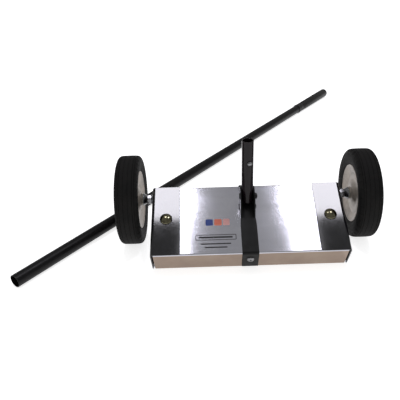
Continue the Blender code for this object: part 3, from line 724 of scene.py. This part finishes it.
for side, sign in (("left", -1), ("right", 1)):
    flip = Matrix() if sign > 0 else Matrix.Rotation(math.pi, 4, "Z")
    axle_low, axle_high = box_in(f"axle_bolt_{side}", carriage)
    reach_in, reach_out = sorted((abs(axle_low.x), abs(axle_high.x)))
    centre = middle(axle_low, axle_high)
    spot = carriage @ Matrix.Translation((0, centre.y, centre.z)) @ flip
    stack = {}
    for word in ("lock_washer", "axle_nut", "axle_spacer", "axle_washer", "lock_nut"):
        low, high = box_in(f"{word}_{side}", carriage)
        stack[word] = sorted((abs(low.x), abs(high.x)))
    bolt_radius = HALF_INCH / 2
    bore = bolt_radius + 0.3 * MM
    head_top = stack["lock_washer"][0] - 3.6 * MM
    shank = [(head_top - 1 * MM, 0), (head_top - 1 * MM, bolt_radius)]
    bolt = turned(shank + threaded(reach_out - 13 * MM, reach_out, bolt_radius)[::-1])
    bolt = with_shell(bolt, hex_body(reach_in, head_top, HALF_INCH_FLATS, 0))
    zinc_slot = ("housing", "zinc_plated")
    piece(f"axle_{side}", bolt, spot, clear_zinc, *zinc_slot, [f"axle_bolt_{side}"])
    coil = split_washer(*stack["lock_washer"], bore, 10.5 * MM)
    piece(f"split_washer_{side}", coil, spot, spring_steel, *zinc_slot, [f"lock_washer_{side}"])
    nut = hex_body(*stack["axle_nut"], HALF_INCH_FLATS, bore)
    piece(f"clamp_nut_{side}", nut, spot, clear_zinc, *zinc_slot, [f"axle_nut_{side}"])
    ring = washer(*stack["axle_washer"], bore, 14 * MM)
    piece(f"flat_washer_{side}", ring, spot, clear_zinc, *zinc_slot, [f"axle_washer_{side}"])
    low_x, high_x = stack["axle_spacer"]
    cone = [(low_x, bore), (low_x, 9 * MM), (low_x + 0.5 * MM, 9.5 * MM), (high_x - 1.9 * MM, 13.6 * MM)]
    cone += [(high_x - 1.2 * MM, 14 * MM), (high_x - 0.4 * MM, 14 * MM), (high_x, 13.6 * MM), (high_x, bore)]
    spacer = turned(cone + cone[:1])
    piece(f"flared_spacer_{side}", spacer, spot, clear_zinc, *zinc_slot, [f"axle_spacer_{side}"])
    low_x, high_x = stack["lock_nut"]
    lock = hex_body(low_x, low_x + 6.2 * MM, HALF_INCH_FLATS, bore)
    collar = [(low_x + 6 * MM, bore), (low_x + 6 * MM, 8.6 * MM), (high_x - 1.5 * MM, 8.6 * MM)]
    collar += [(high_x - 0.4 * MM, 8 * MM), (high_x, 7.2 * MM), (high_x, bore), (low_x + 6 * MM, bore)]
    lock = with_shell(lock, turned(collar))
    piece(f"locking_nut_{side}", lock, spot, clear_zinc, *zinc_slot, [f"lock_nut_{side}"])

# %% [markdown]
# ## Wheels
#
# The tyres are solid moulded rubber, 203 mm across and 51 mm wide. The mould gives them square shoulders,
# fine grooves round the tread and shallow blocks at its edges, whose gaps are pushed in from single faces
# of the spun skin. Each rim is two thin discs of pressed steel, back to back, sprayed silver-grey,
# with a rolled lip that grips the rubber. They run on a plain tube hub with two flanged nylon bushes.

# %% Tyres
TREAD_BLOCKS = 36
STEPS_PER_BLOCK = 5
GROOVE_DEPTH = 0.7 * MM
half_tyre = [
    (4.4, 101.5), (5.0, 100.8), (5.6, 101.5), (13.4, 101.3), (14.2, 100.2), (15.0, 101.2),
    (17.6, 100.9), (18.4, 99.7), (19.2, 100.5), (21.6, 99.2), (23.6, 96.8), (24.8, 93.8),
    (25.2, 91.0), (24.6, 90.0), (25.2, 88.8), (25.3, 84.0), (24.9, 79.6), (24.2, 78.9),
    (24.3, 77.6), (23.2, 72.0), (21.2, 67.0), (19.0, 64.2), (12.5, 55.5),
]
tyre_outline = [(x * MM, r * MM) for x, r in half_tyre]
tyre_outline = tyre_outline + [(-x, r) for x, r in tyre_outline[::-1]]
for side in ("left", "right"):
    tyre = turned(tyre_outline + tyre_outline[:1], segments=TREAD_BLOCKS * STEPS_PER_BLOCK)
    bmesh.ops.recalc_face_normals(tyre, faces=tyre.faces)
    gaps = []
    for face in tyre.faces:
        centre = face.calc_center_median()
        away = math.hypot(centre.y, centre.z)
        step = math.floor(math.atan2(centre.y, centre.z) / math.tau * TREAD_BLOCKS * STEPS_PER_BLOCK)
        if 19.3 * MM < abs(centre.x) < 24.9 * MM and away > 92 * MM and step % STEPS_PER_BLOCK == 0:
            gaps.append(face)
    bmesh.ops.inset_region(tyre, faces=gaps, thickness=0.6 * MM, depth=-GROOVE_DEPTH, use_even_offset=True)
    replaced = [f"tyre_{side}"]
    piece(f"rubber_tyre_{side}", tyre, wheels[side], rubber, f"wheel_{side}", "rubber", replaced)

# %% Rims, hubs and bushes
RIM_T = 1.5 * MM
for side, sign in (("left", -1), ("right", 1)):
    hub_low, hub_high = box_in(f"hub_{side}", wheels[side])
    hub = [(hub_low.x, 8.8 * MM), (hub_low.x, 13 * MM), (hub_low.x + 0.5 * MM, 13.5 * MM)]
    hub += [(hub_high.x - 0.5 * MM, 13.5 * MM), (hub_high.x, 13 * MM), (hub_high.x, 8.8 * MM)]
    hub += [(hub_high.x - 0.5 * MM, 8.3 * MM), (hub_low.x + 0.5 * MM, 8.3 * MM), hub[0]]
    body = f"wheel_{side}"
    piece(f"tube_hub_{side}", turned(hub), wheels[side], silver_paint, body, "rim_paint", [f"hub_{side}"])
    for word in ("outer", "inner"):
        flip = sign if word == "outer" else -sign
        dish = [(22.2, 14.4), (21.2, 14.6), (20.8, 20.4), (14.9, 30.8), (14.2, 34.0), (14.8, 37.5)]
        dish += [(14.4, 43.0), (13.2, 47.5), (19.4, 62.2), (21.1, 63.9), (21.4, 65.2)]
        rim = turned([(flip * x * MM, r * MM) for x, r in dish], 1.2 * MM, range(1, 9), steps=3)
        facing_out(rim, (-flip * 0.5, 0, 0))
        replaced = [f"rim_{word}_{side}"]
        piece(f"pressed_rim_{word}_{side}", rim, wheels[side], silver_paint, body, "rim_paint", replaced,
              RIM_T, 0, True)
        low, high = box_in(f"bush_{word}_{side}", wheels[side])
        out, deep = (high.x, low.x) if flip > 0 else (low.x, high.x)
        flange = out - flip * 1.5 * MM
        bush = [(deep, 6.7), (deep, 8.0), (flange, 8.0), (flange, 11.6), (flange + flip * 0.4 * MM, 12.0)]
        bush += [(out - flip * 0.4 * MM, 12.0), (out, 11.6), (out, 7.2)]
        bush += [(out - flip * 0.5 * MM, 6.7), (deep, 6.7)]
        bush = turned([(x, r * MM) for x, r in bush])
        replaced = [f"bush_{word}_{side}"]
        piece(f"flanged_bush_{word}_{side}", bush, wheels[side], nylon, body, "nylon", replaced)

# %% [markdown]
# ## Handle post, handle and their holes
#
# The post is a one-inch steel tube with a hole for its snap button, and the handle is a wider tube with a
# hole for the same button. A hole in a round tube starts flat: a grid is as wide as the tube is round, the
# cells inside the hole are deleted, the ring of corners around it moves onto a circle, and the grid is
# rolled up. Its two ends are then drawn out to the tube's full length.

# %% Drilled tubes
CELLS_AROUND = 64


def drilled_tube(low, high, radius, hole_at, hole_way, hole_radius):
    """A tube along z with one hole at height hole_at, facing hole_way degrees round from the x axis."""
    shape = bmesh.new()
    around = math.tau * radius
    cell = around / CELLS_AROUND
    rows = 2 * math.ceil(hole_radius * 1.8 / cell)
    bmesh.ops.create_grid(shape, x_segments=CELLS_AROUND, y_segments=rows, size=0.5)
    bmesh.ops.scale(shape, vec=(around, rows * cell, 1), verts=shape.verts)
    inside = [face for face in shape.faces if face.calc_center_median().length < hole_radius]
    bmesh.ops.delete(shape, geom=inside, context="FACES")
    for vert in shape.verts:
        on_rim = vert.is_boundary and abs(vert.co.x) < around * 0.4 and abs(vert.co.y) < rows * cell * 0.45
        if on_rim:
            vert.co = vert.co.normalized() * hole_radius
    for vert in shape.verts:
        turn = vert.co.x / radius + math.radians(hole_way)
        vert.co = Vector((radius * math.cos(turn), radius * math.sin(turn), vert.co.y + hole_at))
    bmesh.ops.remove_doubles(shape, verts=shape.verts, dist=0.01 * MM)
    for end, edge_z in ((low, hole_at - rows * cell / 2), (high, hole_at + rows * cell / 2)):
        rim = [
            edge for edge in shape.edges
            if edge.is_boundary and all(abs(vert.co.z - edge_z) < 0.05 * MM for vert in edge.verts)
        ]
        grown = bmesh.ops.extrude_edge_only(shape, edges=rim)["geom"]
        for part in grown:
            if isinstance(part, bmesh.types.BMVert):
                part.co.z = end
    return facing_out(shape, (0, 0, middle(low, high)))


# %% Handle post and its snap button
POST_WALL = 2.1 * MM
post_low, post_high = box_in("handle_socket", post)
post_radius = (post_high.x - post_low.x) / 2
button_low, button_high = box_in("snap_button", post)
button_at = middle(button_low, button_high)
BUTTON_TURN = 14
BUTTON_HOLE_RADIUS = 5.4 * MM
tube = drilled_tube(
    post_low.z, post_high.z, post_radius, button_at.z, BUTTON_TURN - 90, BUTTON_HOLE_RADIUS
)
replaced = ["handle_socket"]
piece(
    "handle_post", tube, post, post_enamel, "socket", "black_gloss_steel", replaced, POST_WALL, 0.5 * MM, True
)

BUTTON_RADIUS = 5 * MM
BUTTON_DOME = 3.6 * MM
FLANGE_RADIUS = 6.4 * MM
tip = post_radius + 4.8 * MM
angles = [k * math.pi / 24 for k in range(13)]
crown = [(tip - BUTTON_DOME * (1 - math.cos(a)), BUTTON_RADIUS * math.sin(a)) for a in angles]
crown += [(7.9 * MM, BUTTON_RADIUS), (7.9 * MM, FLANGE_RADIUS), (6.5 * MM, FLANGE_RADIUS), (6.5 * MM, 0)]
button = turned(crown)
facing = Matrix.Rotation(math.radians(BUTTON_TURN - 90), 4, "Z")
button_place = post @ Matrix.Translation((0, 0, button_at.z)) @ facing
piece("domed_button", button, button_place, clear_zinc, "button", "zinc_plated", ["snap_button"])

# %% [markdown]
# ## Leaf spring
#
# The button sits on a strip of spring steel that is bent double inside the post. Its exact solid has the
# right shape, so a copy is merged and its edges are eased.

# %% Leaf spring behind the button
leaf = bmesh.new()
leaf.from_mesh(nodes["button_spring"].data)
bmesh.ops.remove_doubles(leaf, verts=leaf.verts, dist=WELD)
spring = piece(
    "leaf_spring", leaf, Matrix(), spring_steel, "socket", "plain_steel", ["button_spring"], edge=0.15 * MM
)
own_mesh(spring)

# %% [markdown]
# ## Loose handle and its grip
#
# The handle is thin inch-and-an-eighth tube, 60 inches long. It is drilled in the same way as the post and
# then laid along its line on the floor. Its far end wears a vinyl grip that was dipped, so it ends in a round
# cap with no seam. A few grooves near its open end stop it rolling back.

# %% Loose handle and its grip
TUBE_RADIUS = 14.2875 * MM
TUBE_WALL = TUBE_RADIUS - 13.05 * MM
lay_down = handle_line @ Matrix.Rotation(math.pi / 2, 4, "Y")
near, far = box_in("handle_tube", handle_line)
tube = drilled_tube(near.x, far.x, TUBE_RADIUS, near.x + 55 * MM, 90, BUTTON_HOLE_RADIUS)
replaced = ["handle_tube"]
paint_slot = "black_gloss_steel"
piece("long_handle", tube, lay_down, tube_enamel, "handle", paint_slot, replaced, TUBE_WALL, 0.3 * MM, True)

grip_near, grip_far = box_in("handle_grip", handle_line)
GRIP_RADIUS = 16.2 * MM
GRIP_TIP = 10 * MM
start = grip_near.x
shoulder = grip_far.x - GRIP_TIP
inner = TUBE_RADIUS + 0.3 * MM
grip = [(shoulder + 0.3 * MM, 0), (shoulder + 0.3 * MM, inner), (start, inner)]
grip += [(start, GRIP_RADIUS - 0.7 * MM), (start + 0.7 * MM, GRIP_RADIUS)]
grip += [(start + 5 * MM, GRIP_RADIUS), (start + 6 * MM, GRIP_RADIUS - 0.8 * MM)]
for k in range(4):
    groove = start + 12 * MM + k * 6 * MM
    grip += [(groove, GRIP_RADIUS - 0.6 * MM), (groove + 0.8 * MM, GRIP_RADIUS - 1.2 * MM)]
    grip += [(groove + 1.6 * MM, GRIP_RADIUS - 0.6 * MM)]
grip += [(shoulder - 30 * MM, GRIP_RADIUS)]
for k in range(16):
    turn = k * math.pi / 32
    grip.append((shoulder + GRIP_TIP * math.sin(turn), GRIP_RADIUS * math.cos(turn)))
grip.append((grip_far.x, 0))
piece("vinyl_grip", turned(grip), handle_line, vinyl, "handle", "vinyl", ["handle_grip"])

# %% [markdown]
# ## Label
#
# A label is printed on the cover, left of the strap. Its print is made generic here: three plain coloured
# squares and an empty frame, with bars where a maker would put words. Each inked shape is its own thin
# piece, so that its edge stays crisp. The ink is thin and satin, so it hardly mirrors the lights.

# %% Label inks and shapes
thin = {"Specular IOR Level": 0.2}
inks = {
    "blue": grained("blue_ink", ("#26397a", "#2f4585"), 0.0004, 0.004, (0.35, 0.5), 0.00001, thin),
    "coral": grained("coral_ink", ("#d4735c", "#c96a55"), 0.0004, 0.004, (0.35, 0.5), 0.00001, thin),
    "pink": grained("pink_ink", ("#d9a3a0", "#cf9794"), 0.0004, 0.004, (0.35, 0.5), 0.00001, thin),
    "black": grained("black_ink", ("#1d1d1f", "#2c2c2e"), 0.0004, 0.004, (0.35, 0.5), 0.00001, thin),
}
INK_T = 0.05 * MM


def inked(name, low, high, colour, hole=0.0):
    """A thin rectangle on the cover, from low to high in millimetres across and back. Hole leaves a frame."""
    shape = bmesh.new()
    bmesh.ops.create_grid(shape, x_segments=1, y_segments=1, size=0.5)
    spot = Vector(((low[0] + high[0]) / 2, (low[1] + high[1]) / 2, 0)) * MM
    bmesh.ops.scale(shape, vec=((high[0] - low[0]) * MM, (high[1] - low[1]) * MM, 1), verts=shape.verts)
    round_corners(shape, shape.verts[:], min(2.0, (high[1] - low[1]) / 4) * MM, 4)
    if hole:
        centre = shape.faces[:]
        bmesh.ops.inset_individual(shape, faces=centre, thickness=hole, use_even_offset=True)
        bmesh.ops.delete(shape, geom=centre, context="FACES_ONLY")
    lift = Vector((0, 0, cover_high.z + INK_T))
    bmesh.ops.translate(shape, vec=spot + lift, verts=shape.verts)
    facing_out(shape, spot - Vector((0, 0, 1)))
    piece(name, shape, carriage, inks[colour], "housing", "bright_sheet", wall=INK_T, open_sheet=True)


for colour, start, end in (("blue", -93, -77), ("coral", -74, -58), ("pink", -55, -41)):
    inked(f"label_block_{colour}", (start, 70), (end, 86), colour)
inked("label_frame", (-115, 34), (-28, 47.5), "black", hole=1.5 * MM)
inked("label_line_1", (-108, 38.6), (-36, 42.8), "black")
inked("label_line_2", (-104, 23.5), (-40, 26.5), "black")
inked("label_line_3", (-96, 15), (-48, 18), "black")

# %% [markdown]
# ## Solids that keep their own shape
#
# The magnets, their steel plate and its nuts are plain blocks and rings inside the box, and the exact
# solids already have their shape. They only need the right finish.

# %% Finishes on the inner solids
inner_finishes = {ferrite: ["magnet_1", "magnet_2", "magnet_3"], plain_steel: ["backing_plate"], clear_zinc: []}
for side in ("left", "right"):
    inner_finishes[clear_zinc] += [f"plate_nut_{side}", f"plate_washer_{side}", f"spacer_sleeve_{side}"]
inner_finishes[clear_zinc] += ["strap_nut_front", "strap_nut_rear"]
for finish, names in inner_finishes.items():
    for name in names:
        node = nodes[name]
        if not node.material_slots:
            node.data.materials.append(finish)
        for slot in node.material_slots:
            slot.link = "OBJECT"
            slot.material = finish
        print(name, "is", finish.name)

# %% [markdown]
# ## Floor and lights
#
# The floor is a white paper sweep with light behind it, so it stays nearly pure white. Overhead there are
# two big soft boxes. Their front edges hang just behind the place that the brackets mirror, so the rear
# half of each flange is white and its front half is black. A narrow strip beside each box reaches further
# forward, and draws a white band on the cover. Between them the sheet mirrors only the grey room.

# %% Floor, soft boxes and room
floor_mesh = bpy.data.meshes.new("floor")
floor_shape = bmesh.new()
bmesh.ops.create_grid(floor_shape, x_segments=1, y_segments=1, size=12)
floor_shape.to_mesh(floor_mesh)
floor_shape.free()
floor = bpy.data.objects.new("floor", floor_mesh)
bpy.context.scene.collection.objects.link(floor)
floor.location = (0, 0, cad_bounds[0][2] - 0.2 * MM)
paper, tree = blank("white_paper_sweep")
lit = {"Roughness": 0.9, "Specular IOR Level": 0.1, "Emission Strength": 0.75}
lit["Base Color"], lit["Emission Color"] = linear("#f6f6f6"), linear("#ffffff")
shader = add(tree, "ShaderNodeBsdfPrincipled", lit)
add(tree, "ShaderNodeOutputMaterial", Surface=shader.outputs["BSDF"])
floor.data.materials.append(paper)

BOX_HEIGHT = 2.0


def soft_box(name, low, high, brightness):
    """A light parallel to the cover, from low to high in x and y above it, as bright as its radiance says."""
    data = bpy.data.lights.new(name, "AREA")
    data.shape = "RECTANGLE"
    data.size, data.size_y = high[0] - low[0], high[1] - low[1]
    data.energy = brightness * math.pi * data.size * data.size_y
    data.color = linear("#f8f6ff")[:3]
    light = bpy.data.objects.new(name, data)
    bpy.context.scene.collection.objects.link(light)
    centre = Vector(((low[0] + high[0]) / 2, (low[1] + high[1]) / 2, cover_high.z + BOX_HEIGHT))
    light.matrix_world = carriage @ Matrix.Translation(centre)
    return light


world = bpy.data.worlds.new("studio")
bpy.context.scene.world = world
world.use_nodes = True
world.node_tree.nodes["Background"].inputs["Color"].default_value = linear("#ffffff")
world.node_tree.nodes["Background"].inputs["Strength"].default_value = 0.4
soft_box("left_box", (-0.65, 1.34), (-0.235, 1.8), 20)
soft_box("left_strip", (-0.296, 0.95), (-0.235, 1.34), 5)
soft_box("right_strip", (0.45, 0.95), (0.635, 1.34), 5)
soft_box("right_box", (0.45, 1.34), (1.0, 1.8), 20)
bpy.context.scene.view_settings.view_transform = "Standard"
print("floor and lights are up")
